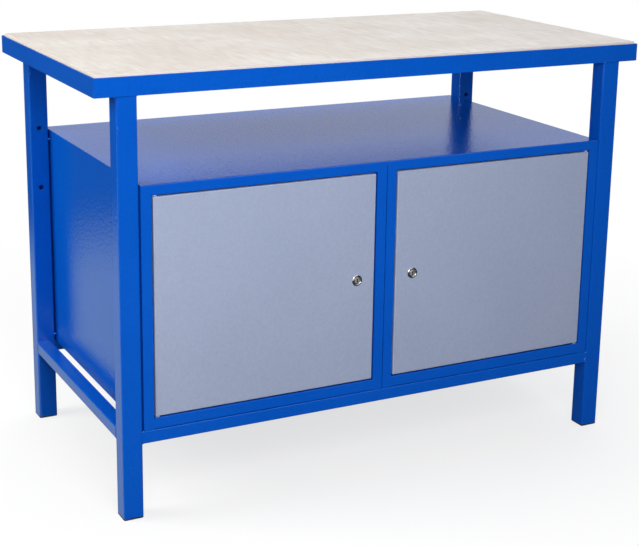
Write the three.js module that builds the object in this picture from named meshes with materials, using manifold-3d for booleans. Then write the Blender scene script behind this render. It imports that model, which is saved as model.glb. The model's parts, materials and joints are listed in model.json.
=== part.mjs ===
// A workbench: a welded stand of steel tube, a plywood top in an angle frame, an open
// shelf deck, and under it two sheet steel cabinets with swing doors and cam locks.
// Millimetres. +X to the right, +Y to the back, +Z up, with the origin on the floor
// under the middle of the worktop.

import * as THREE from 'three';
import { mergeVertices } from 'three/addons/utils/BufferGeometryUtils.js';
import Module from 'manifold-3d';

const wasm = await Module();
wasm.setup();

// Overall sizes
const WIDTH = 1200;
const DEPTH = 600;
const HEIGHT = 860;

// Clearances
const SEAT = 0.3; // between pieces that rest on, or are welded to, each other
const TURN = 0.2; // radial, around a pin or plug that turns
const OVERSHOOT = 5; // how far a cutting tool runs past the face that it cuts

// Facets of round shapes
const ROUND_SIDES = 24;
const CORNER_STEPS = 2;
const NUT_SIDES = 6;

// Worktop panel and the angle frame around it
const PANEL_THICKNESS = 36;
const PANEL_GAP = 1;
const ANGLE_BAND = 36;
const ANGLE_FLANGE = 36;
const ANGLE_WALL = 4;

// Cross bearers under the panel, and the screws through them
const BEARER_WIDTH = 40;
const BEARER_OFFSET = 200;
const SCREW_OFFSET = 160;
const SCREW_RADIUS = 2.5;
const SCREW_LENGTH = 28;
const SCREW_HEAD_RADIUS = 5.5;
const SCREW_HEAD = 3;

// Legs and their foot plugs
const LEG = 40;
const LEG_WALL = 2;
const LEG_CORNER = 4;
const LEG_INSET_X = 42;
const LEG_INSET_Y = 3;
const FOOT_FLANGE = 3;
const FOOT_SPIGOT = 18;

// Holes through the rear legs, for bolting on an upright
const UPRIGHT_HOLE_RADIUS = 5;
const UPRIGHT_HOLE_LOW = 530;
const UPRIGHT_HOLE_HIGH = 660;

// Rails between the legs
const RAIL_WIDTH = 30;
const RAIL_HEIGHT = 25.5;
const RAIL_WALL = 2;
const RAIL_CORNER = 3;
const RAIL_BOTTOM = 151;
const SIDE_RAIL_LIFT = 3;

// Cabinets
const SHEET = 1.2;
const CABINET_GAP = 3;
const CABINET_SEAM = 1.5;
const DECK_HEIGHT = 654;
const DECK_LIP = 10;
const FLOOR_RISE = 23;
const STILE_FACE = 21;
const STILE_DEPTH = 22;
const TOP_RAIL_FACE = 10;

// Inner shelf and the ledge angles that carry it
const SHELF_HEIGHT = 415;
const SHELF_LIP = 25;
const SHELF_SETBACK = 42;
const SHELF_END_GAP = 1.5;
const LEDGE = 18;

// Doors and their pivot pins
const DOOR_GAP = 3;
const DOOR_DEPTH = 18;
const PIVOT_EDGE = 5;
const PIVOT_SETBACK = 5.5;
const PIN_RADIUS = 2.5;
const PIN_GRIP = 12;
const PIN_REACH = 7;
const COLLAR_RADIUS = 4.2;

// Cam locks
const LOCK_EDGE = 39;
const LOCK_HEAD_RADIUS = 11.5;
const LOCK_HEAD = 2.4;
const LOCK_HEAD_CHAMFER = 1;
const BARREL_RADIUS = 8;
const NUT_RADIUS = 12.5;
const NUT_THICKNESS = 4;
const PLUG_RADIUS = 6;
const PLUG_RECESS = 0.4;
const KEY_SLOT_WIDTH = 2;
const KEY_SLOT_HEIGHT = 7.5;
const KEY_SLOT_DEPTH = 8;
const SPIGOT = 6.5; // square end of the plug that turns the cam
const CAM_CLEARANCE = 0.5;
const CAM_THICKNESS = 2;
const CAM_WIDTH = 16;
const CAM_REACH = 50;
const CAM_SCREW_RADIUS = 1.8;
const CAM_SCREW_LENGTH = 8;
const CAM_SCREW_HEAD_RADIUS = 5.5;
const CAM_SCREW_HEAD = 2.5;

// Places that follow from the sizes, with the cabinets' x counted from each one's own middle
const panelBottom = HEIGHT - PANEL_THICKNESS;
const angleBottom = panelBottom - SEAT - ANGLE_WALL;
const legTop = angleBottom - SEAT;
const legBottom = FOOT_FLANGE + SEAT;
const legX = WIDTH / 2 - LEG_INSET_X - LEG / 2;
const legY = DEPTH / 2 - LEG_INSET_Y - LEG / 2;
const legBore = LEG - 2 * LEG_WALL;
const legBoreCorner = Math.max(LEG_CORNER - LEG_WALL, SEAT);
const frontY = -(legY + LEG / 2); // plane of the legs', rails', cabinets' and doors' fronts
const backY = -frontY;
const railTop = RAIL_BOTTOM + RAIL_HEIGHT;

const cabinetOuter = legX - LEG / 2 - CABINET_GAP;
const cabinetWidth = cabinetOuter - CABINET_SEAM / 2;
const cabinetX = cabinetOuter - cabinetWidth / 2;
const cabinetBottom = railTop + SEAT;
const deckUnderside = DECK_HEIGHT - SHEET;
const sheetTop = deckUnderside - SEAT; // top edges of the sheets that carry the deck
const frameTop = DECK_HEIGHT - DECK_LIP - SEAT; // top of the stiles and the top rail
const floorTop = cabinetBottom + FLOOR_RISE;
const topRailBottom = frameTop - TOP_RAIL_FACE;
const sheetFront = frontY + SHEET + SEAT; // behind the deck's lip and the stiles' faces
const backSheetFront = backY - 2 * SHEET - SEAT;
const sideSheetBack = backY - SHEET - SEAT;
const sideSheetX = cabinetWidth / 2 - SHEET / 2;
const insideX = cabinetWidth / 2 - SHEET - SEAT; // half the room between the side sheets
const openingX = cabinetWidth / 2 - STILE_FACE; // half the width between the stiles

const doorHalf = openingX - DOOR_GAP;
const doorBottom = floorTop + DOOR_GAP;
const doorTop = topRailBottom - DOOR_GAP;
const pivotX = doorHalf - PIVOT_EDGE;
const pivotY = frontY + PIVOT_SETBACK;
const lockX = doorHalf - LOCK_EDGE;
const lockZ = (doorBottom + doorTop) / 2;
const camFront = STILE_DEPTH + CAM_CLEARANCE; // behind the door's front face
const barrelEnd = camFront - SEAT;

// Finishes
function bluePaint() {
  return new THREE.MeshStandardMaterial({ color: 0x0052cd, roughness: 0.25, metalness: 0 });
}

function greyPaint() {
  return new THREE.MeshStandardMaterial({ color: 0x9ea6c0, roughness: 0.45, metalness: 0 });
}

function plywood() {
  return new THREE.MeshStandardMaterial({ color: 0xe2dcd2, roughness: 0.7, metalness: 0 });
}

function blackPlastic() {
  return new THREE.MeshStandardMaterial({ color: 0x151517, roughness: 0.6, metalness: 0 });
}

function chrome() {
  return new THREE.MeshStandardMaterial({ color: 0xd9d9d6, roughness: 0.15, metalness: 1 });
}

function zincSteel() {
  return new THREE.MeshStandardMaterial({ color: 0xb4b6b8, roughness: 0.4, metalness: 1 });
}

// A closed geometry as a solid that can be cut and joined.
function solidOf(geometry) {
  const bare = geometry.index ? geometry.toNonIndexed() : geometry.clone();
  bare.deleteAttribute('normal');
  bare.deleteAttribute('uv');
  const merged = mergeVertices(bare);
  return new wasm.Manifold(
    new wasm.Mesh({
      numProp: 3,
      vertProperties: merged.attributes.position.array,
      triVerts: new Uint32Array(merged.index.array),
    }),
  );
}

// A solid's surface as a geometry.
function geometryOf(solid) {
  const { vertProperties, triVerts } = solid.getMesh();
  const geometry = new THREE.BufferGeometry();
  geometry.setAttribute('position', new THREE.BufferAttribute(vertProperties, 3));
  geometry.setIndex(new THREE.BufferAttribute(triVerts, 1));
  geometry.computeVertexNormals();
  return geometry;
}

function cut(geometry, ...tools) {
  return geometryOf(tools.reduce((solid, tool) => solid.subtract(solidOf(tool)), solidOf(geometry)));
}

function join(geometry, ...others) {
  return geometryOf(others.reduce((solid, other) => solid.add(solidOf(other)), solidOf(geometry)));
}

// A block between two limits on each axis.
function block([x0, x1], [y0, y1], [z0, z1]) {
  const box = new THREE.BoxGeometry(x1 - x0, y1 - y0, z1 - z0);
  return box.translate((x0 + x1) / 2, (y0 + y1) / 2, (z0 + z1) / 2);
}

// An outline raised along +Z.
function raised(outline, length) {
  const options = { depth: length, bevelEnabled: false, curveSegments: CORNER_STEPS };
  return new THREE.ExtrudeGeometry(outline, options);
}

// A flat outline, drawn corner by corner, raised along +Z.
function prism(corners, length) {
  const outline = new THREE.Shape(corners.map(([x, y]) => new THREE.Vector2(x, y)));
  return raised(outline, length);
}

// A section of depth and height coordinates, drawn out along X and centred on it.
function sectionAlongX(corners, length) {
  const bar = prism(corners, length).rotateX(Math.PI / 2).rotateZ(Math.PI / 2);
  return bar.translate(-length / 2, 0, 0);
}

// A round rod along +Z from the origin.
function rod(radius, length) {
  const cylinder = new THREE.CylinderGeometry(radius, radius, length, ROUND_SIDES);
  return cylinder.rotateX(Math.PI / 2).translate(0, 0, length / 2);
}

// A profile of radius and height pairs turned about Y.
function turned(profile) {
  const points = profile.map(([radius, y]) => new THREE.Vector2(radius, y));
  return new THREE.LatheGeometry(points, ROUND_SIDES);
}

function roundedRectangle(width, height, corner, PathClass = THREE.Shape) {
  const x = width / 2 - corner;
  const y = height / 2 - corner;
  const path = new PathClass();
  path.absarc(x, y, corner, 0, Math.PI / 2);
  path.absarc(-x, y, corner, Math.PI / 2, Math.PI);
  path.absarc(-x, -y, corner, Math.PI, 1.5 * Math.PI);
  path.absarc(x, -y, corner, 1.5 * Math.PI, 2 * Math.PI);
  path.closePath();
  return path;
}

function roundedBar(width, height, corner, length) {
  return raised(roundedRectangle(width, height, corner), length);
}

// A rectangular tube, open at both ends, along +Z from the origin.
function tube(width, height, wall, corner, length) {
  const outline = roundedRectangle(width, height, corner);
  const boreCorner = Math.max(corner - wall, SEAT);
  outline.holes.push(roundedRectangle(width - 2 * wall, height - 2 * wall, boreCorner, THREE.Path));
  return raised(outline, length);
}

// Worktop

// One side of the top frame: an angle with mitred ends, its web's outer face on y = 0.
function frameAngle(length) {
  const half = length / 2 - SEAT;
  const mitred = (depth, height) =>
    prism([[-half, 0], [half, 0], [half - depth, depth], [depth - half, depth]], height);
  return join(mitred(ANGLE_FLANGE, ANGLE_WALL), mitred(ANGLE_WALL, ANGLE_BAND));
}

function screwPlaces() {
  const ends = [-SCREW_OFFSET, SCREW_OFFSET];
  return [-BEARER_OFFSET, BEARER_OFFSET].flatMap((x) => ends.map((y) => [x, y]));
}

function worktopPanel() {
  const inset = ANGLE_WALL + PANEL_GAP;
  const panel = block(
    [inset - WIDTH / 2, WIDTH / 2 - inset],
    [inset - DEPTH / 2, DEPTH / 2 - inset],
    [0, PANEL_THICKNESS],
  );
  const reach = SCREW_LENGTH - ANGLE_WALL + SEAT;
  const pilots = screwPlaces().map(([x, y]) =>
    rod(SCREW_RADIUS + SEAT, reach + OVERSHOOT).translate(x, y, -OVERSHOOT));
  return cut(panel, ...pilots);
}

function bearer() {
  const half = DEPTH / 2 - ANGLE_FLANGE - SEAT;
  const bar = block([-BEARER_WIDTH / 2, BEARER_WIDTH / 2], [-half, half], [0, ANGLE_WALL]);
  const holes = [-1, 1].map((side) =>
    rod(SCREW_RADIUS + SEAT, ANGLE_WALL + 2 * OVERSHOOT).translate(0, side * SCREW_OFFSET, -OVERSHOOT));
  return cut(bar, ...holes);
}

// A wood screw, pointing up, with the underside of its head at the origin.
function worktopScrew() {
  const tip = SCREW_LENGTH - 2 * SCREW_RADIUS;
  return turned([
    [0, -SCREW_HEAD],
    [SCREW_HEAD_RADIUS - SCREW_HEAD / 2, -SCREW_HEAD],
    [SCREW_HEAD_RADIUS, -SCREW_HEAD / 2],
    [SCREW_HEAD_RADIUS, 0],
    [SCREW_RADIUS, 0],
    [SCREW_RADIUS, tip],
    [0, SCREW_LENGTH],
  ]).rotateX(Math.PI / 2);
}

// Stand

function leg(hasUprightHoles) {
  const post = tube(LEG, LEG, LEG_WALL, LEG_CORNER, legTop - legBottom);
  if (!hasUprightHoles) {
    return post;
  }
  const drills = [UPRIGHT_HOLE_LOW, UPRIGHT_HOLE_HIGH].map((height) =>
    rod(UPRIGHT_HOLE_RADIUS, LEG + 2 * OVERSHOOT)
      .rotateX(Math.PI / 2)
      .translate(0, LEG / 2 + OVERSHOOT, height - legBottom));
  return cut(post, ...drills);
}

function footPlug() {
  const flange = roundedBar(LEG, LEG, LEG_CORNER, FOOT_FLANGE);
  const width = legBore - 2 * SEAT;
  const spigot = roundedBar(width, width, legBoreCorner, FOOT_FLANGE + FOOT_SPIGOT);
  return join(flange, spigot);
}

function sideRail() {
  const length = 2 * (legY - LEG / 2 - SEAT);
  return tube(RAIL_WIDTH, RAIL_HEIGHT, RAIL_WALL, RAIL_CORNER, length)
    .rotateX(Math.PI / 2)
    .translate(0, length / 2, RAIL_HEIGHT / 2);
}

function crossRail() {
  const length = 2 * (legX - LEG / 2 - SEAT);
  return tube(RAIL_HEIGHT, RAIL_WIDTH, RAIL_WALL, RAIL_CORNER, length)
    .rotateY(Math.PI / 2)
    .translate(-length / 2, 0, RAIL_HEIGHT / 2);
}

// Cabinets: each is centred on x = 0 of its own group

function shelfDeck() {
  const lipBottom = DECK_HEIGHT - DECK_LIP;
  return sectionAlongX([
    [frontY, lipBottom],
    [frontY + SHEET, lipBottom],
    [frontY + SHEET, deckUnderside],
    [backY - SHEET, deckUnderside],
    [backY - SHEET, lipBottom],
    [backY, lipBottom],
    [backY, DECK_HEIGHT],
    [frontY, DECK_HEIGHT],
  ], 2 * cabinetOuter);
}

function sideSheet() {
  return block([-SHEET / 2, SHEET / 2], [sheetFront, sideSheetBack], [cabinetBottom, sheetTop]);
}

function backSheet() {
  return block([-insideX, insideX], [backSheetFront, backSheetFront + SHEET], [cabinetBottom, sheetTop]);
}

// A stile's face covers the edge of the side sheet, and its two returns stand behind the face.
// side is 1 for the stile at the cabinet's +x end and -1 for the other.
function stile(side) {
  const outerReturn = insideX - SHEET;
  const edge = cabinetWidth / 2;
  const back = frontY + STILE_DEPTH;
  const innerFace = frontY + SHEET;
  const section = [
    [edge, frontY],
    [edge, innerFace],
    [insideX, innerFace],
    [insideX, back],
    [outerReturn, back],
    [outerReturn, innerFace],
    [openingX + SHEET, innerFace],
    [openingX + SHEET, back],
    [openingX, back],
    [openingX, frontY],
  ].map(([x, y]) => [side * x, y]);
  return prism(section, frameTop - cabinetBottom).translate(0, 0, cabinetBottom);
}

// Holes for a door's pivot pin, in the sheet over and under the door.
function pivotHole(side, z) {
  const length = SHEET + 2 * OVERSHOOT;
  return rod(PIN_RADIUS + TURN, length).translate(side * pivotX, pivotY, z - length / 2);
}

// A channel between the stiles, open at the top.
function topRail(side) {
  const back = frontY + STILE_DEPTH;
  const channel = sectionAlongX([
    [frontY, topRailBottom],
    [back, topRailBottom],
    [back, frameTop],
    [back - SHEET, frameTop],
    [back - SHEET, topRailBottom + SHEET],
    [frontY + SHEET, topRailBottom + SHEET],
    [frontY + SHEET, frameTop],
    [frontY, frameTop],
  ], 2 * (openingX - SEAT));
  return cut(channel, pivotHole(side, topRailBottom));
}

// A floor with its front and rear edges folded down onto the rails, notched round the stiles.
function cabinetFloor(side) {
  const faceX = openingX - SEAT;
  const rear = backSheetFront - SEAT;
  const notchBack = frontY + STILE_DEPTH + SEAT;
  const sheet = prism([
    [-faceX, frontY],
    [faceX, frontY],
    [faceX, notchBack],
    [insideX, notchBack],
    [insideX, rear],
    [-insideX, rear],
    [-insideX, notchBack],
    [-faceX, notchBack],
  ], SHEET).translate(0, 0, floorTop - SHEET);
  const frontFold = block([-faceX, faceX], [frontY, frontY + SHEET], [cabinetBottom, floorTop]);
  const rearFold = block([-insideX, insideX], [rear - SHEET, rear], [cabinetBottom, floorTop]);
  return cut(join(sheet, frontFold, rearFold), pivotHole(side, floorTop));
}

function innerShelf() {
  const front = frontY + SHELF_SETBACK;
  const rear = backSheetFront - SHELF_END_GAP;
  const lipBottom = SHELF_HEIGHT - SHELF_LIP;
  const underside = SHELF_HEIGHT - SHEET;
  return sectionAlongX([
    [front, lipBottom],
    [front + SHEET, lipBottom],
    [front + SHEET, underside],
    [rear - SHEET, underside],
    [rear - SHEET, lipBottom],
    [rear, lipBottom],
    [rear, SHELF_HEIGHT],
    [front, SHELF_HEIGHT],
  ], 2 * (insideX - SHELF_END_GAP));
}

// A ledge angle under one end of the shelf, its upright flange against the side sheet.
function shelfLedge(side) {
  const top = SHELF_HEIGHT - SHEET - SEAT;
  const front = frontY + SHELF_SETBACK + SHEET + SHELF_END_GAP;
  const rear = backSheetFront - 2 * SHELF_END_GAP - SHEET;
  const span = ([from, to]) => [Math.min(side * from, side * to), Math.max(side * from, side * to)];
  const flange = block(span([insideX - LEDGE, insideX]), [front, rear], [top - SHEET, top]);
  const upright = block(span([insideX - SHEET, insideX]), [front, rear], [top - LEDGE, top]);
  return join(flange, upright);
}

// Doors

function doorPan(side) {
  const shell = block([-doorHalf, doorHalf], [frontY, frontY + DOOR_DEPTH], [doorBottom, doorTop]);
  const hollow = block(
    [SHEET - doorHalf, doorHalf - SHEET],
    [frontY + SHEET, frontY + DOOR_DEPTH + OVERSHOOT],
    [doorBottom + SHEET, doorTop - SHEET],
  );
  const lockHole = rod(BARREL_RADIUS + SEAT, SHEET + 2 * OVERSHOOT)
    .rotateX(Math.PI / 2)
    .translate(-side * lockX, frontY + SHEET + OVERSHOOT, lockZ);
  return cut(shell, hollow, lockHole, pivotHole(side, doorBottom), pivotHole(side, doorTop));
}

// A pivot pin pointing up, its collar in the gap over the door, with the door's edge at the origin.
function pivotPin() {
  return turned([
    [0, -PIN_GRIP],
    [PIN_RADIUS, -PIN_GRIP],
    [PIN_RADIUS, SEAT],
    [COLLAR_RADIUS, SEAT],
    [COLLAR_RADIUS, DOOR_GAP - SEAT],
    [PIN_RADIUS, DOOR_GAP - SEAT],
    [PIN_RADIUS, DOOR_GAP + PIN_REACH],
    [0, DOOR_GAP + PIN_REACH],
  ]).rotateX(Math.PI / 2);
}

// Lock pieces lie along Y, with the door's front face at the origin

function lockBody() {
  return turned([
    [PLUG_RADIUS + TURN, -LOCK_HEAD],
    [LOCK_HEAD_RADIUS - LOCK_HEAD_CHAMFER, -LOCK_HEAD],
    [LOCK_HEAD_RADIUS, LOCK_HEAD_CHAMFER - LOCK_HEAD],
    [LOCK_HEAD_RADIUS, -SEAT],
    [BARREL_RADIUS, -SEAT],
    [BARREL_RADIUS, barrelEnd],
    [PLUG_RADIUS + TURN, barrelEnd],
    [PLUG_RADIUS + TURN, -LOCK_HEAD],
  ]);
}

function lockNut() {
  const hexagon = new THREE.CylinderGeometry(NUT_RADIUS, NUT_RADIUS, NUT_THICKNESS, NUT_SIDES);
  const bore = new THREE.CylinderGeometry(
    BARREL_RADIUS + SEAT,
    BARREL_RADIUS + SEAT,
    NUT_THICKNESS + 2 * OVERSHOOT,
    ROUND_SIDES,
  );
  return cut(hexagon, bore).translate(0, SHEET + SEAT + NUT_THICKNESS / 2, 0);
}

function lockPlug() {
  const front = PLUG_RECESS - LOCK_HEAD;
  const shoulder = camFront - SEAT;
  const spigotEnd = camFront + CAM_THICKNESS;
  const round = turned([[0, front], [PLUG_RADIUS, front], [PLUG_RADIUS, shoulder], [0, shoulder]]);
  const square = block([-SPIGOT / 2, SPIGOT / 2], [0, spigotEnd], [-SPIGOT / 2, SPIGOT / 2]);
  const keySlot = block(
    [-KEY_SLOT_WIDTH / 2, KEY_SLOT_WIDTH / 2],
    [front - OVERSHOOT, front + KEY_SLOT_DEPTH],
    [-KEY_SLOT_HEIGHT / 2, KEY_SLOT_HEIGHT / 2],
  );
  const tapped = rod(CAM_SCREW_RADIUS + SEAT, CAM_SCREW_LENGTH + SEAT + OVERSHOOT)
    .rotateX(Math.PI / 2)
    .translate(0, spigotEnd + OVERSHOOT, 0);
  return cut(join(round, square), keySlot, tapped);
}

// The cam hangs down from the plug when the lock is open.
function lockCam() {
  const half = CAM_WIDTH / 2;
  const outline = new THREE.Shape();
  outline.absarc(0, 0, half, 0, Math.PI);
  outline.absarc(0, half - CAM_REACH, half, Math.PI, 2 * Math.PI);
  outline.closePath();
  const camBack = camFront + CAM_THICKNESS;
  const plate = raised(outline, CAM_THICKNESS).rotateX(Math.PI / 2).translate(0, camBack, 0);
  const hole = SPIGOT / 2 + SEAT;
  return cut(plate, block([-hole, hole], [camFront - OVERSHOOT, camBack + OVERSHOOT], [-hole, hole]));
}

function camScrew() {
  const seat = camFront + CAM_THICKNESS + SEAT;
  return turned([
    [0, seat - CAM_SCREW_LENGTH],
    [CAM_SCREW_RADIUS, seat - CAM_SCREW_LENGTH],
    [CAM_SCREW_RADIUS, seat],
    [CAM_SCREW_HEAD_RADIUS, seat],
    [CAM_SCREW_HEAD_RADIUS, seat + CAM_SCREW_HEAD],
    [0, seat + CAM_SCREW_HEAD],
  ]);
}

// Assembly

function addPiece(group, name, geometry, material, [x, y, z] = [0, 0, 0], turn = 0) {
  const piece = new THREE.Mesh(geometry, material);
  piece.name = name;
  piece.position.set(x, y, z);
  piece.rotation.z = turn;
  group.add(piece);
  return piece;
}

function buildWorktop() {
  const top = new THREE.Group();
  addPiece(top, 'worktop_panel', worktopPanel(), plywood(), [0, 0, panelBottom]);
  addPiece(top, 'top_frame_front', frameAngle(WIDTH), bluePaint(), [0, -DEPTH / 2, angleBottom]);
  addPiece(top, 'top_frame_rear', frameAngle(WIDTH), bluePaint(), [0, DEPTH / 2, angleBottom], Math.PI);
  addPiece(top, 'top_frame_left', frameAngle(DEPTH), bluePaint(), [-WIDTH / 2, 0, angleBottom], -Math.PI / 2);
  addPiece(top, 'top_frame_right', frameAngle(DEPTH), bluePaint(), [WIDTH / 2, 0, angleBottom], Math.PI / 2);
  addPiece(top, 'bearer_left', bearer(), bluePaint(), [-BEARER_OFFSET, 0, angleBottom]);
  addPiece(top, 'bearer_right', bearer(), bluePaint(), [BEARER_OFFSET, 0, angleBottom]);
  screwPlaces().forEach(([x, y], index) =>
    addPiece(top, `worktop_screw_${index + 1}`, worktopScrew(), zincSteel(), [x, y, angleBottom - SEAT]));
  return top;
}

function buildStand() {
  const stand = new THREE.Group();
  for (const [sideName, sideX] of [['left', -1], ['right', 1]]) {
    for (const [endName, sideY] of [['front', -1], ['rear', 1]]) {
      const isRear = sideY > 0;
      const [x, y] = [sideX * legX, sideY * legY];
      addPiece(stand, `leg_${endName}_${sideName}`, leg(isRear), bluePaint(), [x, y, legBottom]);
      addPiece(stand, `foot_${endName}_${sideName}`, footPlug(), blackPlastic(), [x, y, 0]);
    }
    const railX = sideX * (legX + LEG / 2 - RAIL_WIDTH / 2);
    const railZ = RAIL_BOTTOM + SIDE_RAIL_LIFT;
    addPiece(stand, `side_rail_${sideName}`, sideRail(), bluePaint(), [railX, 0, railZ]);
  }
  addPiece(stand, 'front_rail', crossRail(), bluePaint(), [0, frontY + RAIL_WIDTH / 2, RAIL_BOTTOM]);
  addPiece(stand, 'rear_rail', crossRail(), bluePaint(), [0, backY - RAIL_WIDTH / 2, RAIL_BOTTOM]);
  return stand;
}

// side is -1 for the left cabinet and 1 for the right one, whose door hangs at its outer side.
function buildCabinet(name, side) {
  const cabinet = new THREE.Group();
  cabinet.position.x = side * cabinetX;
  addPiece(cabinet, `${name}_outer_side`, sideSheet(), bluePaint(), [side * sideSheetX, 0, 0]);
  addPiece(cabinet, `${name}_inner_side`, sideSheet(), bluePaint(), [-side * sideSheetX, 0, 0]);
  addPiece(cabinet, `${name}_back`, backSheet(), bluePaint());
  addPiece(cabinet, `${name}_floor`, cabinetFloor(side), bluePaint());
  addPiece(cabinet, `${name}_outer_stile`, stile(side), bluePaint());
  addPiece(cabinet, `${name}_inner_stile`, stile(-side), bluePaint());
  addPiece(cabinet, `${name}_top_rail`, topRail(side), bluePaint());
  addPiece(cabinet, `${name}_shelf`, innerShelf(), bluePaint());
  addPiece(cabinet, `${name}_outer_ledge`, shelfLedge(side), bluePaint());
  addPiece(cabinet, `${name}_inner_ledge`, shelfLedge(-side), bluePaint());
  cabinet.add(buildDoor(name, side));
  return cabinet;
}

function buildDoor(name, side) {
  const door = new THREE.Group();
  addPiece(door, `${name}_door`, doorPan(side), greyPaint());
  const hingeX = side * pivotX;
  addPiece(door, `${name}_upper_pin`, pivotPin(), greyPaint(), [hingeX, pivotY, doorTop]);
  const lowerPin = addPiece(door, `${name}_lower_pin`, pivotPin(), greyPaint(), [hingeX, pivotY, doorBottom]);
  lowerPin.rotation.x = Math.PI;
  const lock = new THREE.Group();
  lock.position.set(-side * lockX, frontY, lockZ);
  addPiece(lock, `${name}_lock_body`, lockBody(), chrome());
  addPiece(lock, `${name}_lock_nut`, lockNut(), zincSteel());
  addPiece(lock, `${name}_lock_plug`, lockPlug(), chrome());
  addPiece(lock, `${name}_lock_cam`, lockCam(), zincSteel());
  addPiece(lock, `${name}_cam_screw`, camScrew(), zincSteel());
  door.add(lock);
  return door;
}

const workbench = new THREE.Group();
workbench.add(buildWorktop());
workbench.add(buildStand());
addPiece(workbench, 'shelf_deck', shelfDeck(), bluePaint());
workbench.add(buildCabinet('left', -1));
workbench.add(buildCabinet('right', 1));

export default workbench;
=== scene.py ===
"""The workbench dressed for its picture: rounded folds, welds, lock heads, finishes, light and camera."""

import json
import math

import bmesh
import bpy
from mathutils import Matrix, Quaternion, Vector


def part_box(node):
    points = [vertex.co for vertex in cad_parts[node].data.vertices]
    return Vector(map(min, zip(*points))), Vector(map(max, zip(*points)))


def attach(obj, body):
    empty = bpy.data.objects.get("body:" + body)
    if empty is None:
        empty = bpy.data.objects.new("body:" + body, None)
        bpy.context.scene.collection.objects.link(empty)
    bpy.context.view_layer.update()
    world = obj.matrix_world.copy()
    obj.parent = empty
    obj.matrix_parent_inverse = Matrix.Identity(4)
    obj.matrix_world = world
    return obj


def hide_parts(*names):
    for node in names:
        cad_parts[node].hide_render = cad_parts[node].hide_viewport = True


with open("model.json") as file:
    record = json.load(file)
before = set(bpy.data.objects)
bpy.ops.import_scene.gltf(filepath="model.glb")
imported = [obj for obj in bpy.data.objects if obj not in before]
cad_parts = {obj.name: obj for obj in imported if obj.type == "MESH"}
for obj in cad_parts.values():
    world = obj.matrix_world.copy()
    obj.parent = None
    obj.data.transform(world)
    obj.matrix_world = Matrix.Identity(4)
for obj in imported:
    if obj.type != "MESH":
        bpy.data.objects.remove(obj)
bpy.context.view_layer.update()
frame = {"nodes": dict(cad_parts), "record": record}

MM = 0.001
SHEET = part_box("left_outer_side")[1].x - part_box("left_outer_side")[0].x

# The photograph's frame and its camera
IMAGE_WIDTH = 639
FOCAL_LENGTH = 1443.5
SENSOR = 36.0
CAMERA_PLACE = Vector((-1.3907, -2.6968, 1.2733))
CAMERA_AIM = Vector((0.0036, 0.0, 0.4999))
CAMERA_ROLL = math.radians(0.87)
CAMERA_SHIFT = -0.11

# Rounding of edges and folds
MERGE = 0.002 * MM
FLAT_ANGLE = math.radians(0.5)
EDGE_ANGLE = math.radians(60)
SHARP_ANGLE = math.radians(50)
RIM_LIMIT = 1.5 * MM
FOLD_SEGMENTS = 3
RIM_SEGMENTS = 1
DOOR_FOLD = 2.2 * MM
DECK_FOLD = 2.6 * MM
DECK_END = 0.7 * MM
SHEET_FOLD = 1.2 * MM
FLANGE_EDGE = 0.7 * MM
FLANGE_LIFT = 1.8 * MM
SHEET_RIM = 0.25 * MM
ANGLE_EDGE = 0.9 * MM
TUBE_RIM = 0.4 * MM
PANEL_EDGE = 1.0 * MM
PLUG_EDGE = 0.8 * MM
FASTENER_EDGE = 0.3 * MM

# Parts of a face's normal above which it looks up, or out at an end of the deck
DECK_UP = 0.1
DECK_OUT = 0.9
PANEL_UP = 0.5

# Pieces of one cabinet, and the screws under the worktop
SHEET_PIECES = (
    "outer_side", "inner_side", "outer_stile", "inner_stile", "top_rail", "shelf", "outer_ledge",
    "inner_ledge",
)
SMALL_PIECES = ("upper_pin", "lower_pin", "lock_nut", "lock_cam", "cam_screw")
WORKTOP_SCREWS = 4

# Welds
BEAD_RADIUS = 2.6 * MM
BEAD_SIDES = 10
BEAD_RIPPLE = 3.6 * MM
LEAST_RIPPLES = 2
RIPPLE_CUTS = 4
RIPPLE_HEIGHT = 0.14
BEAD_END = 4 * MM
BEAD_TIP = 0.8 * MM
CORNER_BEAD_RADIUS = 1.6 * MM
CORNER_BEAD_SIDES = 30
GROOVE_INSET = 1.9 * MM
TACK_RADIUS = 2.8 * MM
TACK_INSET = 18 * MM
TACK_REACH = 4 * MM
TACK_BITE = 0.3 * MM
TACK_PROUD = 1.2 * MM

# Seams of the cabinets, filled and painted over, and strips that close the gaps round them
SEAM_WIDTH = 3.0 * MM
SEAM_DEPTH = 1.0 * MM
SEAM_SETBACK = 0.02 * MM
DECK_SEAM = 0.6 * MM
WELD_GAP = 0.35 * MM
GAP_DEPTH = 10 * MM
GAP_BITE = 0.3 * MM
FLOOR_STOP = 8 * MM

# Lock heads: radii, and depths behind the door's front face, in millimetres
LOCK_STEPS = 64
LOCK_BORE = 6.2
LOCK_BACK = 22.0
RECESS_FLOOR = -0.9
RING_MIDDLE = 9.25
RING_HALF = 2.25
RING_CROWN = 2.35
RING_SEAT = -0.05
RING_STEPS = 12
BARREL_PLAIN = 5.8
THREAD_PITCH = 1.0
THREAD_OUTER = 8.0
THREAD_INNER = 7.5
THREAD_START = 6.0
THREAD_END = 21.0

# Painted shade inside a key slot: its reach from the plug's axis, and its start and depth behind the plug's
# front
SLOT_REACH = 4.4 * MM
SLOT_START = 0.4 * MM
SLOT_DEPTH = 6 * MM

# Colour sockets of a Mix node
MIX_FIRST = 6
MIX_SECOND = 7
MIX_RESULT = 2

# Powder coat: size of the clouds in its film and its gloss, and the colour share of the painted shade in its
# orange peel
FILM_LUMP = 180 * MM
GLOSS_LUMP = 25 * MM
PAINTED_PEEL_SHADE = 0.7

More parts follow.
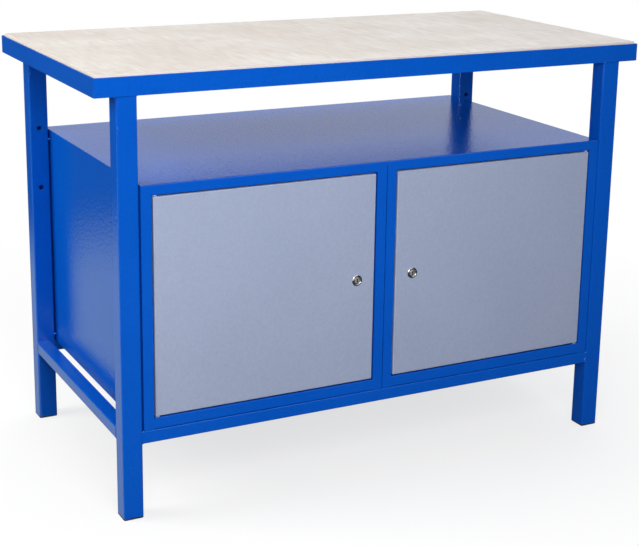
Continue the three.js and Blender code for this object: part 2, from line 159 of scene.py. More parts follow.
# Plywood face: for each pattern its scale along the axes, its size, its range, its share and its colour
PALE_WOOD = (0.785, 0.76, 0.732)
PATCH_SCALE = (1.0, 1.5, 1.0)
PATCH_LUMP = 240 * MM
PATCH_DETAIL = 4.0
PATCH_RANGE = (0.36, 0.64)
PATCH_WOOD = (0.685, 0.636, 0.592)
FLAME_SCALE = (1.0, 0.3, 1.0)
FLAME_LUMP = 34 * MM
FLAME_DETAIL = 6.0
FLAME_TWIST = 1.6
FLAME_RANGE = (0.4, 0.66)
FLAME_SHARE = 0.56
FLAME_WOOD = (0.6, 0.535, 0.475)
GROWTH_SCALE = (1.0, 0.4, 1.0)
GROWTH_RINGS = {"Scale": 38.0, "Distortion": 36.0, "Detail": 2.0, "Detail Scale": 0.12}
GROWTH_RANGE = (0.35, 1.0)
GROWTH_SHARE = 0.38
GROWTH_WOOD = (0.64, 0.56, 0.48)
FIBRE_SCALE = (1.0, 0.04, 1.0)
FIBRE_LUMP = 3 * MM
FIBRE_DETAIL = 3.0
FIBRE_RANGE = (0.4, 0.75)
FIBRE_SHARE = 0.32
FIBRE_WOOD = (0.55, 0.46, 0.37)
FIBRE_STRENGTH = 0.6
FIBRE_HEIGHT = 0.08 * MM
FACE_GLOSS = (0.55, 0.7)

# Plywood edge
LONG_GRAIN = (0.84, 0.80, 0.74)
END_GRAIN = (0.70, 0.62, 0.52)
PLY_LAYERS = {"Scale": 120.0, "Distortion": 0.6}
PLY_RANGE = (0.35, 0.65)
SAWN_SCALE = (1.0, 1.0, 8.0)
SAWN_LUMP = 6 * MM
SAWN_RANGE = (0.3, 0.7)
SAWN_SHARE = 0.25
SAWN_WOOD = (0.58, 0.48, 0.36)
SAWN_GLOSS = (0.65, 0.8)

# Plastic plugs and plated metal
PLASTIC_DARK = (0.008, 0.008, 0.009)
PLASTIC_PALE = (0.016, 0.016, 0.017)
PLASTIC_LUMP = 8 * MM
PLASTIC_GLOSS = (0.5, 0.62)
MOULD_LUMP = 0.6 * MM
MOULD_STRENGTH = 0.8
MOULD_HEIGHT = 0.03 * MM
METAL_DETAIL = 3.0

# Studio floor and world
FLOOR_RADIUS = 14.0
FLOOR_SIDES = 96
FLOOR_FADE = (0.5, 1.7)
FLOOR_GLOW = 0.7
FLOOR_COLOUR = 0.93
FLOOR_BOUNCE = 0.3
WORLD_LEVEL = 0.31

# Colours of lamps and reflection cards
WHITE = (1.0, 1.0, 1.0)
WARM = (1.0, 0.98, 0.86)
BLACK = (0.0, 0.0, 0.0)
DARK = (0.03, 0.03, 0.03)
POOL = (0.5, 0.57, 0.42)
PALE = (0.62, 0.68, 0.84)
STRIP = (18.0, 18.0, 18.0)
HIGH = (1.3, 1.3, 1.3)

# Places of the reflection cards
WALL_STEPS = 48
CARD_LIFT = 2 * MM
CARD_REACH = 7.0
POOL_FRONT = -0.30
POOL_FADE = (1.3, 2.0)
UNDER_REACH = 0.55
UNDER_BACK = 0.30
UNDER_LIFT = 4 * MM
CURTAIN_RADIUS = 6.5
CURTAIN_HEIGHT = 7.0
BACKDROP_START = math.radians(20)
BACKDROP_TURN = math.radians(72)


def add_node(tree, kind, inputs=None, **settings):
    made = tree.nodes.new(kind)
    for name, value in settings.items():
        setattr(made, name, value)
    for name, value in (inputs or {}).items():
        made.inputs[name].default_value = value
    return made


def start_material(name):
    material = bpy.data.materials.new(name)
    material.use_nodes = True
    tree = material.node_tree
    return material, tree, tree.nodes["Principled BSDF"]


# Object coordinates. A scale below 1 draws a pattern out along that axis, and one above 1 shortens it.
def object_place(tree, scale=(1.0, 1.0, 1.0)):
    place = add_node(tree, "ShaderNodeTexCoord")
    mapping = add_node(tree, "ShaderNodeMapping", {"Scale": scale})
    tree.links.new(place.outputs["Object"], mapping.inputs["Vector"])
    return mapping.outputs["Vector"]


# Noise with lumps about lump metres across.
def noise(tree, place, lump, detail=2.0, twist=0.0):
    made = add_node(tree, "ShaderNodeTexNoise", {"Scale": 1.0 / lump, "Detail": detail, "Distortion": twist})
    tree.links.new(place, made.inputs["Vector"])
    return made.outputs[0]


# A value that runs from start to end, drawn out to run from low to high.
def spread(tree, value, low, high, start=0.3, end=0.7):
    limits = {"From Min": start, "From Max": end, "To Min": low, "To Max": high}
    made = add_node(tree, "ShaderNodeMapRange", limits)
    tree.links.new(value, made.inputs["Value"])
    return made.outputs["Result"]


def mix_colours(tree, share, first, second):
    made = add_node(tree, "ShaderNodeMix", data_type="RGBA")
    tree.links.new(share, made.inputs[0])
    for socket, colour in ((made.inputs[MIX_FIRST], first), (made.inputs[MIX_SECOND], second)):
        if isinstance(colour, bpy.types.NodeSocket):
            tree.links.new(colour, socket)
        else:
            socket.default_value = (*colour, 1.0)
    return made.outputs[MIX_RESULT]


# A colour laid over another where a pattern is strong.
def lay_over(tree, under, pattern, limits, share, colour):
    return mix_colours(tree, spread(tree, pattern, 0.0, share, *limits), under, colour)


def raise_bump(tree, shader, height, strength, distance):
    bump = add_node(tree, "ShaderNodeBump", {"Strength": strength, "Distance": distance})
    tree.links.new(height, bump.inputs["Height"])
    tree.links.new(bump.outputs["Normal"], shader.inputs["Normal"])


# A baked powder coat: a slightly uneven film with fine orange peel, and painted shade that follows the
# peel's bump noise and shows as a grain.
def powder_coat(name, thin, full, gloss, peel, peel_height, shine, peel_shade_share):
    material, tree, shader = start_material(name)
    place = object_place(tree)
    film = spread(tree, noise(tree, place, FILM_LUMP), 0.0, 1.0)
    skin = noise(tree, place, peel)
    coat = mix_colours(tree, film, thin, full)
    # painted shade: a darker colour mixed in where the peel's bump noise is high
    painted_valley_shade = [PAINTED_PEEL_SHADE * part for part in full]
    peel_shaded_coat = mix_colours(tree, spread(tree, skin, 0.0, peel_shade_share), coat, painted_valley_shade)
    tree.links.new(peel_shaded_coat, shader.inputs["Base Color"])
    tree.links.new(spread(tree, noise(tree, place, GLOSS_LUMP), *gloss), shader.inputs["Roughness"])
    shader.inputs["Specular IOR Level"].default_value = shine
    raise_bump(tree, shader, skin, 1.0, peel_height)
    return material


def blue_coat():
    return powder_coat(
        "blue_powder_coat", thin=(0.002, 0.102, 0.585), full=(0.001, 0.094, 0.555), gloss=(0.07, 0.1),
        peel=5.5 * MM, peel_height=0.6 * MM, shine=0.5, peel_shade_share=0.22)


def grey_coat():
    return powder_coat(
        "grey_powder_coat", thin=(0.362, 0.422, 0.597), full=(0.343, 0.403, 0.575), gloss=(0.46, 0.52),
        peel=5.0 * MM, peel_height=0.16 * MM, shine=1.0, peel_shade_share=0.3)


# Sanded face veneer: pale patches, flame grain, faint swirling rings, and fine fibres from front to back.
def plywood_face():
    material, tree, shader = start_material("plywood_face")
    patches = noise(tree, object_place(tree, PATCH_SCALE), PATCH_LUMP, PATCH_DETAIL)
    flame = noise(tree, object_place(tree, FLAME_SCALE), FLAME_LUMP, FLAME_DETAIL, FLAME_TWIST)
    rings = add_node(tree, "ShaderNodeTexWave", GROWTH_RINGS, bands_direction="X")
    tree.links.new(object_place(tree, GROWTH_SCALE), rings.inputs["Vector"])
    fibre = noise(tree, object_place(tree, FIBRE_SCALE), FIBRE_LUMP, FIBRE_DETAIL)
    patched = lay_over(tree, PALE_WOOD, patches, PATCH_RANGE, 1.0, PATCH_WOOD)
    flamed = lay_over(tree, patched, flame, FLAME_RANGE, FLAME_SHARE, FLAME_WOOD)
    ringed = lay_over(tree, flamed, rings.outputs["Fac"], GROWTH_RANGE, GROWTH_SHARE, GROWTH_WOOD)
    streaked = lay_over(tree, ringed, fibre, FIBRE_RANGE, FIBRE_SHARE, FIBRE_WOOD)
    tree.links.new(streaked, shader.inputs["Base Color"])
    tree.links.new(spread(tree, fibre, *FACE_GLOSS), shader.inputs["Roughness"])
    raise_bump(tree, shader, fibre, FIBRE_STRENGTH, FIBRE_HEIGHT)
    return material


# Sawn edge: thin plies that show long grain and end grain in turn.
def plywood_edge():
    material, tree, shader = start_material("plywood_edge")
    plies = add_node(tree, "ShaderNodeTexWave", PLY_LAYERS, bands_direction="Z")
    tree.links.new(object_place(tree), plies.inputs["Vector"])
    fibre = noise(tree, object_place(tree, SAWN_SCALE), SAWN_LUMP, FIBRE_DETAIL)
    wood = lay_over(tree, LONG_GRAIN, plies.outputs["Fac"], PLY_RANGE, 1.0, END_GRAIN)
    sawn = lay_over(tree, wood, fibre, SAWN_RANGE, SAWN_SHARE, SAWN_WOOD)
    tree.links.new(sawn, shader.inputs["Base Color"])
    tree.links.new(spread(tree, fibre, *SAWN_GLOSS), shader.inputs["Roughness"])
    return material


def black_plastic():
    material, tree, shader = start_material("black_plastic")
    place = object_place(tree)
    cloud = noise(tree, place, PLASTIC_LUMP)
    tree.links.new(mix_colours(tree, cloud, PLASTIC_DARK, PLASTIC_PALE), shader.inputs["Base Color"])
    tree.links.new(spread(tree, cloud, *PLASTIC_GLOSS), shader.inputs["Roughness"])
    raise_bump(tree, shader, noise(tree, place, MOULD_LUMP), MOULD_STRENGTH, MOULD_HEIGHT)
    return material


def plated_metal(name, bright, dull, gloss, lump):
    material, tree, shader = start_material(name)
    shader.inputs["Metallic"].default_value = 1.0
    cloud = noise(tree, object_place(tree), lump, METAL_DETAIL)
    tree.links.new(mix_colours(tree, cloud, bright, dull), shader.inputs["Base Color"])
    tree.links.new(spread(tree, cloud, *gloss), shader.inputs["Roughness"])
    return material


def chrome():
    return plated_metal(
        "chrome", bright=(0.82, 0.82, 0.83), dull=(0.72, 0.72, 0.74), gloss=(0.1, 0.18), lump=4 * MM)


# The turned face of a lock's plug.
def satin_nickel():
    return plated_metal(
        "satin_nickel", bright=(0.84, 0.83, 0.82), dull=(0.7, 0.7, 0.7), gloss=(0.56, 0.66), lump=1.2 * MM)


def zinc_steel():
    return plated_metal(
        "zinc_steel", bright=(0.64, 0.65, 0.66), dull=(0.5, 0.51, 0.54), gloss=(0.3, 0.45), lump=2.5 * MM)


FINISHES = {
    "blue_paint": blue_coat(),
    "grey_paint": grey_coat(),
    "plywood": plywood_face(),
    "black_plastic": black_plastic(),
    "chrome": chrome(),
    "zinc_steel": zinc_steel(),
}
PLY_EDGE = plywood_edge()
PLUG_FINISH = satin_nickel()
SLOTS = {row["node"]: row["material_slot"] for row in frame["record"]["subparts"]}
BODIES = {node: body for body, nodes in frame["record"]["behaviour"]["bodies"].items() for node in nodes}


# A CAD node's solid as one skin of whole faces.
def merged_copy(node):
    bm = bmesh.new()
    bm.from_mesh(frame["nodes"][node].data)
    bmesh.ops.remove_doubles(bm, verts=bm.verts, dist=MERGE)
    bmesh.ops.dissolve_limit(bm, angle_limit=FLAT_ANGLE, verts=bm.verts, edges=bm.edges)
    return bm


# The width of a long face.
def width_of(face):
    return face.calc_area() / (face.calc_perimeter() / 2)


def corner_edges(bm):
    return [e for e in bm.edges if e.is_manifold and e.is_convex and e.calc_face_angle() > EDGE_ANGLE]


def round_over(bm, edges, radius, segments):
    bmesh.ops.bevel(bm, geom=edges, offset=radius, offset_type="OFFSET", affect="EDGES", segments=segments,
                    profile=0.5, material=-1, clamp_overlap=True, loop_slide=False)


# Folds between a sheet's broad faces get a bend radius.
def round_folds(bm, radius):
    folds = [e for e in corner_edges(bm) if min(width_of(f) for f in e.link_faces) > RIM_LIMIT]
    if folds:
        round_over(bm, folds, radius, FOLD_SEGMENTS)


# The cut edges of a sheet are only deburred.
def round_rims(bm):
    rims = [e for e in corner_edges(bm) if min(width_of(f) for f in e.link_faces) <= RIM_LIMIT]
    if rims:
        round_over(bm, rims, SHEET_RIM, RIM_SEGMENTS)


def round_all(bm, radius, segments=FOLD_SEGMENTS):
    round_over(bm, corner_edges(bm), radius, segments)


def make_piece(bm, name, body, slot, *materials):
    for face in bm.faces:
        face.smooth = True
    for edge in bm.edges:
        edge.smooth = not (edge.is_manifold and edge.calc_face_angle() > SHARP_ANGLE)
    mesh = bpy.data.meshes.new(name)
    bm.to_mesh(mesh)
    bm.free()
    for material in materials or (FINISHES[slot],):
        mesh.materials.append(material)
    piece = bpy.data.objects.new(name, mesh)
    bpy.context.scene.collection.objects.link(piece)
    shading = piece.modifiers.new("even_shading", "WEIGHTED_NORMAL")
    shading.keep_sharp = True
    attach(piece, body)
    return piece


def dress(node, bm, *materials):
    piece = make_piece(bm, f"{node}_finished", BODIES[node], SLOTS[node], *materials)
    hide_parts(node)
    return piece


def dress_sheet(node):
    bm = merged_copy(node)
    round_folds(bm, SHEET_FOLD)
    round_rims(bm)
    dress(node, bm)


def dress_door(side):
    bm = merged_copy(f"{side}_door")
    round_folds(bm, DOOR_FOLD)
    dress(f"{side}_door", bm)


# A sheet between two sides is drawn out to touch them where it is welded.
def meet_sides(bm, node):
    low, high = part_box(node)
    for vert in bm.verts:
        if vert.co.x - low.x < MERGE:
            vert.co.x -= WELD_GAP
        elif high.x - vert.co.x < MERGE:
            vert.co.x += WELD_GAP


def dress_back(side):
    node = f"{side}_back"
    bm = merged_copy(node)
    meet_sides(bm, node)
    round_rims(bm)
    dress(node, bm)


def dress_solid(node, radius, segments=FOLD_SEGMENTS):
    bm = merged_copy(node)
    round_all(bm, radius, segments)
    dress(node, bm)


def on_outline(point, corners):
    return any(abs(point[axis] - corner[axis]) < MERGE for corner in corners for axis in (0, 1))


# The panel's outer edges are broken, and its screw holes stay sharp.
def dress_worktop():
    bm = merged_copy("worktop_panel")
    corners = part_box("worktop_panel")
    outer = [e for e in corner_edges(bm) if all(on_outline(v.co, corners) for v in e.verts)]
    round_over(bm, outer, PANEL_EDGE, FOLD_SEGMENTS)
    bm.normal_update()
    for face in bm.faces:
        face.material_index = 0 if abs(face.normal.z) > PANEL_UP else 1
    dress("worktop_panel", bm, FINISHES["plywood"], PLY_EDGE)


def on_foot(point, low):
    return point.y - low.y < MERGE and point.z - low.z < RIM_LIMIT


# A cabinet floor, whose turned-down front edge stops short of the rail and is rounded along its foot.
def dress_floor(side):
    node = f"{side}_floor"
    bm = merged_copy(node)
    meet_sides(bm, node)
    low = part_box(node)[0]
    for vert in bm.verts:
        if vert.co.y - low.y < RIM_LIMIT and vert.co.z - low.z < RIM_LIMIT:
            vert.co.z += FLANGE_LIFT
    foot = [e for e in corner_edges(bm) if all(on_foot(v.co, low) for v in e.verts)]
    round_over(bm, foot, FLANGE_EDGE, FOLD_SEGMENTS)
    round_folds(bm, SHEET_FOLD)
    bmesh.ops.remove_doubles(bm, verts=bm.verts, dist=MERGE)
    dress(node, bm)


def inner_folds(bm):
    return [e for e in bm.edges if e.is_manifold and not e.is_convex and e.calc_face_angle() > EDGE_ANGLE]


# The deck, bent to a constant thickness, with its ends rounded over on top.
def dress_deck():
    bm = merged_copy("shelf_deck")
    round_over(bm, inner_folds(bm), DECK_FOLD - SHEET, FOLD_SEGMENTS)
    round_folds(bm, DECK_FOLD)
    bm.normal_update()
    ends = []
    for edge in corner_edges(bm):
        normals = [face.normal for face in edge.link_faces]
        if max(n.z for n in normals) > DECK_UP and max(abs(n.x) for n in normals) > DECK_OUT:
            ends.append(edge)
    round_over(bm, ends, DECK_END, FOLD_SEGMENTS)
    round_rims(bm)
    dress("shelf_deck", bm)


# A lock's plug, with painted shade inside its key slot: the slot's faces take the black plastic finish.
def dress_plug(side):
    node = f"{side}_lock_plug"
    low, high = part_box(node)
    centre = (low + high) / 2
    bm = merged_copy(node)
    round_all(bm, FASTENER_EDGE, RIM_SEGMENTS)
    for face in bm.faces:
        middle = face.calc_center_median()
        across = (middle.xz - centre.xz).length
        depth = middle.y - low.y - SLOT_START
        # painted shade: faces inside the key slot get black plastic in place of the plug's metal
        face.material_index = 1 if across < SLOT_REACH and 0 < depth < SLOT_DEPTH else 0
    dress(node, bm, PLUG_FINISH, FINISHES["black_plastic"])


# A bead of weld with ripples, along the seam from start to end.
def add_bead(bm, start, end, radius=BEAD_RADIUS):
    along = end - start
    ripples = max(LEAST_RIPPLES, round(along.length / BEAD_RIPPLE))
    bead = bmesh.new()
    bmesh.ops.create_cone(bead, cap_ends=True, segments=BEAD_SIDES, radius1=radius, radius2=radius,
                          depth=along.length)
    sides = [e for e in bead.edges if abs(e.verts[0].co.z - e.verts[1].co.z) > MERGE]
    bmesh.ops.subdivide_edges(bead, edges=sides, cuts=ripples * RIPPLE_CUTS)
    for vert in bead.verts:
        depth = along.length / 2 - abs(vert.co.z)
        swell = 1 + RIPPLE_HEIGHT * math.sin(2 * math.pi * vert.co.z / BEAD_RIPPLE)
        taper = math.sqrt(min(1.0, (depth + BEAD_TIP) / BEAD_END))
        vert.co.x *= swell * taper
        vert.co.y *= swell * taper
    turn = along.to_track_quat("Z", "Y").to_matrix().to_4x4()
    bmesh.ops.transform(bead, matrix=Matrix.Translation((start + end) / 2) @ turn, verts=bead.verts)
    mesh = bpy.data.meshes.new("bead")
    bead.to_mesh(mesh)
    bead.free()
    bm.from_mesh(mesh)
    bpy.data.meshes.remove(mesh)


def add_leg_welds(bm, side, end):
    low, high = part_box(f"leg_{end}_{side}")
    frame_low, frame_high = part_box(f"top_frame_{end}")
    near = max(low.y, frame_low.y) + BEAD_RADIUS
    far = min(high.y, frame_high.y) - BEAD_RADIUS
    for x in (low.x, high.x):
        add_bead(bm, Vector((x, near, high.z)), Vector((x, far, high.z)))


def add_rail_welds(bm, side):
    low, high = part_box(f"side_rail_{side}")
    outer = low.x + GROOVE_INSET if side == "left" else high.x - GROOVE_INSET
    for y in (low.y, high.y):
        for z in (low.z, high.z):
            add_bead(bm, Vector((low.x + BEAD_RADIUS, y, z)), Vector((high.x - BEAD_RADIUS, y, z)))
        add_bead(bm, Vector((outer, y, low.z)), Vector((outer, y, high.z)))


def add_cross_rail_welds(bm, end):
    low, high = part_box(f"{end}_rail")
    outer = low.y + GROOVE_INSET if end == "front" else high.y - GROOVE_INSET
    for x in (low.x, high.x):
        add_bead(bm, Vector((x, low.y + BEAD_RADIUS, low.z)), Vector((x, high.y - BEAD_RADIUS, low.z)))
        add_bead(bm, Vector((x, outer, low.z)), Vector((x, outer, high.z)))


# Short tacks that bridge the gap between a cabinet's outer side and a leg.
def add_tacks(bm, side, end):
    leg_low, leg_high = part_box(f"leg_{end}_{side}")
    sheet_low, sheet_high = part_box(f"{side}_outer_side")
    y = leg_high.y + TACK_PROUD if end == "front" else leg_low.y - TACK_PROUD
    on_leg = leg_high.x - TACK_REACH if side == "left" else leg_low.x + TACK_REACH
    on_sheet = sheet_low.x + TACK_BITE if side == "left" else sheet_high.x - TACK_BITE
    for z in (sheet_low.z + TACK_INSET, sheet_high.z - TACK_INSET):
        add_bead(bm, Vector((on_leg, y, z)), Vector((on_sheet, y, z)), TACK_RADIUS)


# The top frame's mitres are welded along their outer corners and dressed round.
def add_corner_weld(bm, side, end):
    low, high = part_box(f"top_frame_{side}")
    inset = CORNER_BEAD_RADIUS
    x = low.x + inset if side == "left" else high.x - inset
    y = low.y + inset if end == "front" else high.y - inset
    made = bmesh.ops.create_cone(bm, cap_ends=True, segments=CORNER_BEAD_SIDES, radius1=inset, radius2=inset,
                                 depth=high.z - low.z - 2 * ANGLE_EDGE)
    bmesh.ops.translate(bm, verts=made["verts"], vec=Vector((x, y, (low.z + high.z) / 2)))


def weld_stand():
    bm = bmesh.new()
    for side in ("left", "right"):
        for end in ("front", "rear"):
            add_leg_welds(bm, side, end)
            add_corner_weld(bm, side, end)
            add_tacks(bm, side, end)
        add_rail_welds(bm, side)
    for end in ("front", "rear"):
        add_cross_rail_welds(bm, end)
    bmesh.ops.recalc_face_normals(bm, faces=bm.faces)
    make_piece(bm, "stand_welds", "bench", "blue_paint")


# A block whose corners lie at the ends of three ranges.
def add_block(bm, *ranges):
    size = [high - low for low, high in ranges]
    middle = [(low + high) / 2 for low, high in ranges]
    bmesh.ops.create_cube(bm, size=1.0, matrix=Matrix.Translation(middle) @ Matrix.Diagonal((*size, 1.0)))


def add_seam(bm, x_range, z_range, face_y):
    near = face_y + SEAM_SETBACK
    add_block(bm, x_range, (near, near + SEAM_DEPTH), z_range)


# The joints round a door opening that are filled, ground flush and painted over.
def add_front_seams(bm, side):
    rail_low, rail_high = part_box(f"{side}_top_rail")
    floor_low, floor_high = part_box(f"{side}_floor")
    lip_z = (rail_high.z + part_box("shelf_deck")[0].z) / 2
    half = SEAM_WIDTH / 2
    add_seam(bm, (floor_low.x, floor_high.x), (lip_z - half, lip_z + half), rail_low.y)
    for x in (rail_low.x, rail_high.x):
        across = (x - half, x + half)
        add_seam(bm, across, (rail_low.z + SHEET_FOLD, lip_z - half), rail_low.y)
        add_seam(bm, across, (floor_low.z + FLANGE_EDGE, floor_high.z - SHEET_FOLD), rail_low.y)


# The joint between an outer side's top edge and the end of the deck.
def add_deck_seam(bm, side):
    low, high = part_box(f"{side}_outer_side")
    x_range = (low.x + SEAM_SETBACK, high.x) if side == "left" else (low.x, high.x - SEAM_SETBACK)
    add_block(bm, x_range, (low.y, high.y), (high.z - SEAM_WIDTH / 2, high.z + DECK_SEAM))


# A strip that closes an upright gap, a little way in from the front or the rear.
def add_gap_strip(bm, gap, end, sheet):
    low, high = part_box(sheet)
    near = low.y + GAP_DEPTH if end == "front" else high.y - GAP_DEPTH - SEAM_DEPTH
    x_range = (gap[0] - GAP_BITE, gap[1] + GAP_BITE)
    add_block(bm, x_range, (near, near + SEAM_DEPTH), (low.z, high.z - DECK_FOLD))


def close_cabinet_gaps(bm, end):
    for side in ("left", "right"):
        leg_low, leg_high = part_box(f"leg_{end}_{side}")
        sheet_low, sheet_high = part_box(f"{side}_outer_side")
        gap = (leg_high.x, sheet_low.x) if side == "left" else (sheet_high.x, leg_low.x)
        add_gap_strip(bm, gap, end, f"{side}_outer_side")
    middle = (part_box("left_inner_side")[1].x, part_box("right_inner_side")[0].x)
    add_gap_strip(bm, middle, end, "left_inner_side")


# A strip behind a floor's turned-down edge, which keeps light from passing over the front rail.
def add_floor_stop(bm, side):
    low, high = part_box(f"{side}_floor")
    near = low.y + FLOOR_STOP
    rail_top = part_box("front_rail")[1].z
    add_block(bm, (low.x, high.x), (near, near + SEAM_DEPTH), (rail_top - GAP_BITE, high.z - GAP_BITE))


def fill_seams():
    bm = bmesh.new()
    for side in ("left", "right"):
        add_front_seams(bm, side)
        add_deck_seam(bm, side)
        add_floor_stop(bm, side)
    for end in ("front", "rear"):
        close_cabinet_gaps(bm, end)
    make_piece(bm, "filled_seams", "bench", "blue_paint")


# The head's domed ring, from the recess round its crown to its seat on the door.
def ring_profile():
    start = math.asin((RING_SEAT - RECESS_FLOOR) / RING_CROWN)
    turns = [start + (math.pi - start) * step / RING_STEPS for step in range(RING_STEPS + 1)]
    across = [RING_MIDDLE - RING_HALF * math.cos(turn) for turn in turns]
    proud = [RING_SEAT - RING_CROWN * math.sin(turn) for turn in turns]
    return list(zip(across, proud))


def thread_profile():
    points = []
    depth = THREAD_START
    while depth < THREAD_END:
        points += [(THREAD_INNER, depth + THREAD_PITCH / 2), (THREAD_OUTER, depth + THREAD_PITCH)]
        depth += THREAD_PITCH
    return points


# The lock's head and threaded barrel, turned about the lock's axis.
def turn_lock_body(side):
    low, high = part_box(f"{side}_lock_body")
    centre = (low + high) / 2
    face_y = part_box(f"{side}_door")[0].y
    bm = bmesh.new()
    head = [(LOCK_BORE, LOCK_BACK), (LOCK_BORE, RECESS_FLOOR), *ring_profile()]
    barrel = [(THREAD_OUTER, RING_SEAT), (THREAD_OUTER, BARREL_PLAIN)]
    profile = [*head, *barrel, *thread_profile(), (THREAD_INNER, LOCK_BACK)]
    verts = [bm.verts.new((centre.x + r * MM, face_y + y * MM, centre.z)) for r, y in profile]
    edges = [bm.edges.new(pair) for pair in zip(verts, verts[1:] + verts[:1])]
    bmesh.ops.spin(bm, geom=verts + edges, cent=(centre.x, face_y, centre.z), axis=(0, 1, 0),
                   angle=2 * math.pi, steps=LOCK_STEPS, use_merge=True)
    bmesh.ops.remove_doubles(bm, verts=bm.verts, dist=MERGE)
    bmesh.ops.recalc_face_normals(bm, faces=bm.faces)
    dress(f"{side}_lock_body", bm)


def dress_stand():
    for side in ("left", "right"):
        for end in ("front", "rear"):
            dress_solid(f"leg_{end}_{side}", TUBE_RIM, RIM_SEGMENTS)
            dress_solid(f"foot_{end}_{side}", PLUG_EDGE)
        dress_solid(f"side_rail_{side}", TUBE_RIM, RIM_SEGMENTS)
        dress_solid(f"bearer_{side}", ANGLE_EDGE)
    for rail in ("front_rail", "rear_rail"):
        dress_solid(rail, TUBE_RIM, RIM_SEGMENTS)
    for edge in ("front", "rear", "left", "right"):
        dress_solid(f"top_frame_{edge}", ANGLE_EDGE)
    for number in range(1, WORKTOP_SCREWS + 1):
        dress_solid(f"worktop_screw_{number}", FASTENER_EDGE, RIM_SEGMENTS)


def dress_cabinet(side):
    for name in SHEET_PIECES:
        dress_sheet(f"{side}_{name}")
    dress_back(side)
    dress_floor(side)
    dress_door(side)
    for name in SMALL_PIECES:
        dress_solid(f"{side}_{name}", FASTENER_EDGE, RIM_SEGMENTS)
    dress_plug(side)
    turn_lock_body(side)


def either(tree, first, second):
    made = add_node(tree, "ShaderNodeMath", operation="MAXIMUM")
    tree.links.new(first, made.inputs[0])
    tree.links.new(second, made.inputs[1])
    return made.outputs[0]


# 1 for rays from the camera and for what shows in a reflection or through glass.
def seen_rays(tree):
    path = add_node(tree, "ShaderNodeLightPath").outputs
    mirrored = either(tree, path["Is Glossy Ray"], path["Is Transmission Ray"])
    return either(tree, path["Is Camera Ray"], mirrored)


def studio_world():
    world = bpy.data.worlds.new("studio")
    world.use_nodes = True
    tree = world.node_tree
    strength = spread(tree, seen_rays(tree), WORLD_LEVEL, 1.0, 0.0, 1.0)
    background = tree.nodes["Background"]
    background.inputs["Color"].default_value = (*WHITE, 1.0)
    tree.links.new(strength, background.inputs["Strength"])
    bpy.context.scene.world = world


# A pale floor that fades into the white background away from the object.
def studio_floor():
    bm = bmesh.new()
    bmesh.ops.create_circle(bm, cap_ends=True, segments=FLOOR_SIDES, radius=FLOOR_RADIUS)
    mesh = bpy.data.meshes.new("floor")
    bm.to_mesh(mesh)
    bm.free()
    material, tree, shader = start_material("floor")
    seen = seen_rays(tree)
    tree.links.new(spread(tree, seen, FLOOR_BOUNCE, FLOOR_COLOUR, 0.0, 1.0), shader.inputs["Base Color"])
    shader.inputs["Roughness"].default_value = 1.0
    shader.inputs["Specular IOR Level"].default_value = 0.0
    far = add_node(tree, "ShaderNodeVectorMath", operation="LENGTH")
    tree.links.new(object_place(tree), far.inputs[0])
    away = spread(tree, far.outputs["Value"], FLOOR_GLOW, 1.0, *FLOOR_FADE)
    share = add_node(tree, "ShaderNodeMath", operation="MULTIPLY")
    tree.links.new(away, share.inputs[0])
    tree.links.new(seen, share.inputs[1])
    white = add_node(tree, "ShaderNodeEmission", {"Strength": 1.0})
    mixed = add_node(tree, "ShaderNodeMixShader")
    tree.links.new(share.outputs[0], mixed.inputs[0])
    tree.links.new(shader.outputs[0], mixed.inputs[1])
    tree.links.new(white.outputs[0], mixed.inputs[2])
    tree.links.new(mixed.outputs[0], tree.nodes["Material Output"].inputs["Surface"])
    mesh.materials.append(material)
    floor = bpy.data.objects.new("floor", mesh)
    bpy.context.scene.collection.objects.link(floor)


# A card that only shows in reflections, or also lights what faces it. It may fade to dark towards the back.
def reflection_card(name, bm, brightness, lights=False, fade=None):
    mesh = bpy.data.meshes.new(name)
    bm.to_mesh(mesh)
    bm.free()
    material, tree, shader = start_material(name)
    shader.inputs["Base Color"].default_value = (*BLACK, 1.0)
    shader.inputs["Specular IOR Level"].default_value = 0.0
    shader.inputs["Emission Color"].default_value = (*brightness, 1.0)
    shader.inputs["Emission Strength"].default_value = 1.0
    if fade:
        split = add_node(tree, "ShaderNodeSeparateXYZ")
        tree.links.new(object_place(tree), split.inputs[0])
        share = spread(tree, split.outputs["Y"], 0.0, 1.0, *fade)
        tree.links.new(mix_colours(tree, share, brightness, DARK), shader.inputs["Emission Color"])
    mesh.materials.append(material)
    card = bpy.data.objects.new(name, mesh)
    bpy.context.scene.collection.objects.link(card)
    card.visible_camera = False
    card.visible_diffuse = lights
    card.visible_transmission = False
    card.visible_shadow = False


def floor_card(name, near, far, reach, lift, brightness, fade=None):
    bm = bmesh.new()
    place = Matrix.Translation((0.0, (near + far) / 2, lift))
    size = Matrix.Diagonal((reach, abs(far - near) / 2, 1.0, 1.0))
    bmesh.ops.create_grid(bm, x_segments=1, y_segments=1, size=1.0, matrix=place @ size)
    reflection_card(name, bm, brightness, fade=fade)


# A round stretch of studio wall, from the direction start, counted from +X, through turn.
def wall_card(name, start, turn, brightness, lights=False):
    bm = bmesh.new()
    foot = bm.verts.new((CURTAIN_RADIUS * math.cos(start), CURTAIN_RADIUS * math.sin(start), 0.0))
    head = bm.verts.new((foot.co.x, foot.co.y, CURTAIN_HEIGHT))
    edge = bm.edges.new((foot, head))
    bmesh.ops.spin(bm, geom=[foot, head, edge], cent=(0, 0, 0), axis=(0, 0, 1), angle=turn, steps=WALL_STEPS)
    reflection_card(name, bm, brightness, lights)


def facing(place, aim):
    return (Vector(aim) - Vector(place)).to_track_quat("-Z", "Y")


# A bright card in the air, which shows in polished metal and along rounded edges.
def hung_card(name, place, aim, width, height, brightness):
    bm = bmesh.new()
    turn = facing(place, aim).to_matrix().to_4x4()
    size = Matrix.Diagonal((width / 2, height / 2, 1.0, 1.0))
    matrix = Matrix.Translation(place) @ turn @ size
    bmesh.ops.create_grid(bm, x_segments=1, y_segments=1, size=1.0, matrix=matrix)
    reflection_card(name, bm, brightness)


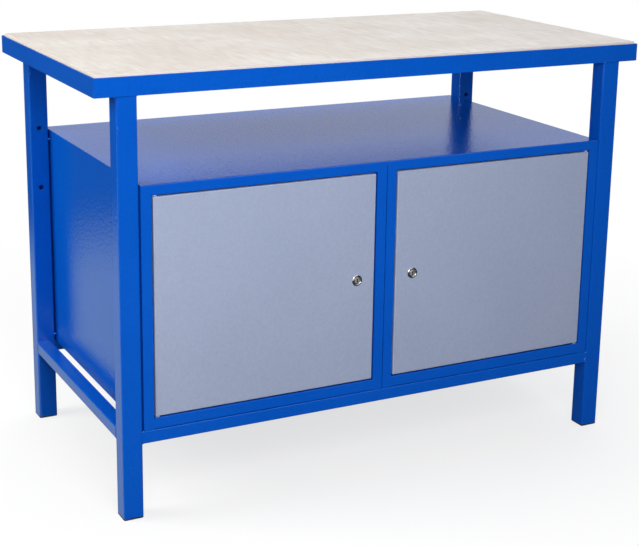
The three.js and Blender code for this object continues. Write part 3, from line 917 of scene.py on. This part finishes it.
# A soft lamp. level is the share of plain light that it gives a white surface facing it at its aim.
def softbox(name, place, aim, width, height, level, colour=WHITE, mirrored=True):
    data = bpy.data.lights.new(name, "AREA")
    data.color = colour
    data.shape = "RECTANGLE"
    data.size = width
    data.size_y = height
    data.energy = level * math.pi ** 2 * (Vector(aim) - Vector(place)).length_squared
    lamp = bpy.data.objects.new(name, data)
    lamp.location = place
    lamp.rotation_euler = facing(place, aim).to_euler()
    lamp.visible_glossy = mirrored
    bpy.context.scene.collection.objects.link(lamp)


def studio_camera():
    data = bpy.data.cameras.new("photo_camera")
    data.sensor_fit = "HORIZONTAL"
    data.sensor_width = SENSOR
    data.lens = FOCAL_LENGTH / IMAGE_WIDTH * SENSOR
    data.shift_y = CAMERA_SHIFT
    camera = bpy.data.objects.new("photo_camera", data)
    camera.location = CAMERA_PLACE
    level = facing(CAMERA_PLACE, CAMERA_AIM)
    camera.rotation_euler = (level @ Quaternion((0, 0, 1), CAMERA_ROLL)).to_euler()
    bpy.context.scene.collection.objects.link(camera)
    bpy.context.scene.camera = camera


dress_worktop()
dress_stand()
dress_deck()
dress_cabinet("left")
dress_cabinet("right")
weld_stand()
fill_seams()
studio_world()
studio_floor()
floor_card("front_card", POOL_FRONT, -CARD_REACH, CARD_REACH, CARD_LIFT, DARK)
floor_card("pool_card", POOL_FRONT, CARD_REACH, CARD_REACH, CARD_LIFT, POOL, POOL_FADE)
# painted shadow: a dark card, seen only in reflections, stands in for the shadow on the floor under the
# bench
floor_card("painted_shadow_card", POOL_FRONT, UNDER_BACK, UNDER_REACH, UNDER_LIFT, DARK)
wall_card("dark_curtain", BACKDROP_START, BACKDROP_TURN - 2 * math.pi, DARK)
wall_card("pale_backdrop", BACKDROP_START, BACKDROP_TURN, PALE, lights=True)
hung_card(
    "key_strip", place=(-1.3, -2.2, 1.3), aim=(-0.1, -0.3, 0.45), width=0.5, height=1.5, brightness=STRIP)
hung_card(
    "high_card", place=(0.3, -2.4, 2.6), aim=(0.0, -0.3, 0.5), width=3.0, height=1.4, brightness=HIGH)
softbox(
    "key_softbox", place=(-0.85, -2.15, 1.5), aim=(-0.2, -0.3, 0.6), width=1.5, height=1.5, level=0.97,
    mirrored=False)
softbox(
    "left_softbox", place=(-2.6, 0.6, 1.75), aim=(-0.6, 0.0, 0.6), width=1.4, height=1.4, level=0.92,
    colour=WARM)
softbox(
    "top_softbox", place=(0.66, 0.72, 2.84), aim=(0.0, 0.0, 0.86), width=2.0, height=2.0, level=0.5)
studio_camera()
bpy.context.scene.view_settings.view_transform = "Standard"
